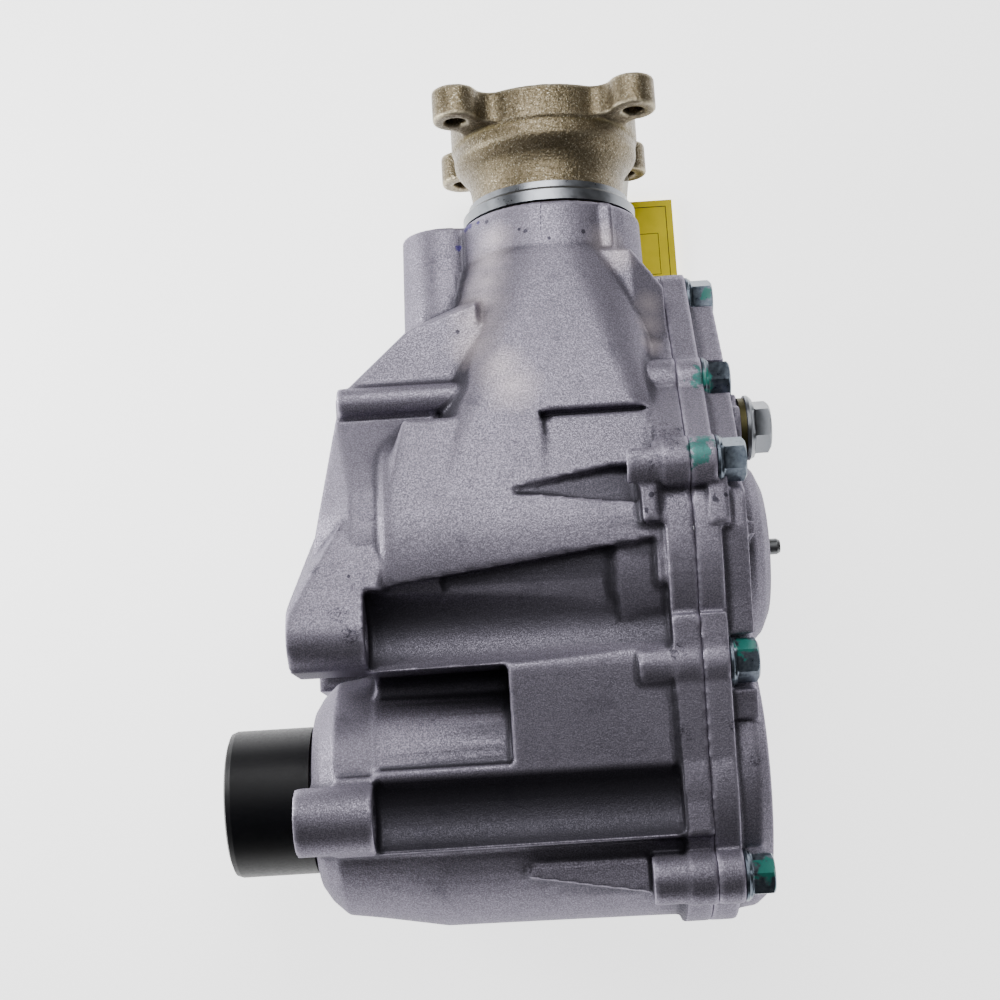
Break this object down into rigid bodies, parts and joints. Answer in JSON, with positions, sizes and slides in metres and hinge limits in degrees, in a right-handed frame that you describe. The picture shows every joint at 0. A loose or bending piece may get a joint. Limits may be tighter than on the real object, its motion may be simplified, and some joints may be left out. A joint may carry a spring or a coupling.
{
  "type": "right-angle power take-off unit",
  "caption": "Right-angle power take-off unit: hollow splined input, parallel gear step and bevel set in a cast split case, with a lobed output flange.",
  "frame": {"origin": "where the input axis crosses the transaxle mounting face of the lugs", "axes": "+X along the input axis towards the side cover, +Y along the output axis towards the flange, +Z out of the front of the unit, which lies on its rear feet"},
  "size_m": [0.2344, 0.352, 0.1585],
  "materials": {
    "case_aluminium": "as cast, fine grain",
    "cover_aluminium": "as cast, fine grain",
    "zinc_steel": "zinc plated",
    "dowel_steel": "ground",
    "breather_steel": "dark",
    "washer_metal": "olive coated",
    "seal_rubber": "matte",
    "black_rubber": "matte",
    "bearing_steel": "ground",
    "gear_steel": "phosphated",
    "shaft_steel": "turned",
    "flange_iron": "yellow passivated casting",
    "cap_plastic": "satin",
    "tag_plastic": "yellow",
    "tie_plastic": "translucent white"
  },
  "bodies": {
    "case": {"main_case": "case_aluminium", "side_cover": "cover_aluminium", "cover_bolts": "zinc_steel", "dowel_pins": "dowel_steel", "breather": "breather_steel", "input_seal_ring": "seal_rubber", "half_shaft_seal": "seal_rubber", "output_seal_ring": "seal_rubber", "input_bearing_cups": "bearing_steel", "shaft_bearing_cups": "bearing_steel", "output_bearing_cups": "bearing_steel", "pilot_o_ring": "black_rubber"},
    "input": {"input_shaft": "shaft_steel", "input_gear": "gear_steel", "input_bearing_cones": "bearing_steel", "input_bearing_rollers": "bearing_steel", "gear_snap_ring": "dowel_steel"},
    "intermediate": {"intermediate_shaft": "shaft_steel", "driven_gear": "gear_steel", "ring_gear": "gear_steel", "ring_gear_bolts": "dowel_steel", "shaft_bearing_cones": "bearing_steel", "shaft_bearing_rollers": "bearing_steel"},
    "output": {"pinion_shaft": "gear_steel", "output_bearing_cones": "bearing_steel", "output_bearing_rollers": "bearing_steel", "crush_sleeve": "dowel_steel", "output_flange": "flange_iron", "dust_ring": "zinc_steel", "flange_nut": "zinc_steel", "nut_washer": "zinc_steel", "tag_tie": "tie_plastic"},
    "plug_seat": {"plug_washer": "washer_metal"},
    "plug": {"fill_plug": "zinc_steel"},
    "cap": {"input_cap": "cap_plastic"},
    "tag": {"hang_tag": "tag_plastic"}
  },
  "joints": [
    {"name": "intermediate_spin", "type": "hinge", "parent": "case", "child": "intermediate", "pos_m": [0.1, 0.0925, 0], "axis": [1, 0, 0], "continuous": true},
    {"name": "input_spin", "type": "hinge", "parent": "case", "child": "input", "pos_m": [0.1, 0, 0], "axis": [1, 0, 0], "continuous": true},
    {"name": "output_spin", "type": "hinge", "parent": "case", "child": "output", "pos_m": [0.113, 0.2, 0], "axis": [0, 1, 0], "continuous": true},
    {"name": "plug_travel", "type": "slide", "parent": "case", "child": "plug_seat", "axis": [1, 0, 0], "range_m": [0, 0.0182]},
    {"name": "plug_turn", "type": "hinge", "parent": "plug_seat", "child": "plug", "pos_m": [0.19, 0.1405, 0.025], "axis": [1, 0, 0], "range_deg": [0, 4320]},
    {"name": "cap_pull", "type": "slide", "parent": "case", "child": "cap", "axis": [-1, 0, 0], "range_m": [0, 0.06]},
    {"name": "tag_swing", "type": "hinge", "parent": "output", "child": "tag", "pos_m": [0.1505, 0.2735, -0.077], "axis": [-1, 0, 0], "range_deg": [0, 12]}
  ],
  "couplings": [
    {"joint": "input_spin", "follows": "intermediate_spin", "ratio": -1.2424},
    {"joint": "output_spin", "follows": "intermediate_spin", "ratio": -2.5714},
    {"joint": "plug_travel", "follows": "plug_turn", "m_per_rad": 0.00023873}
  ]
}
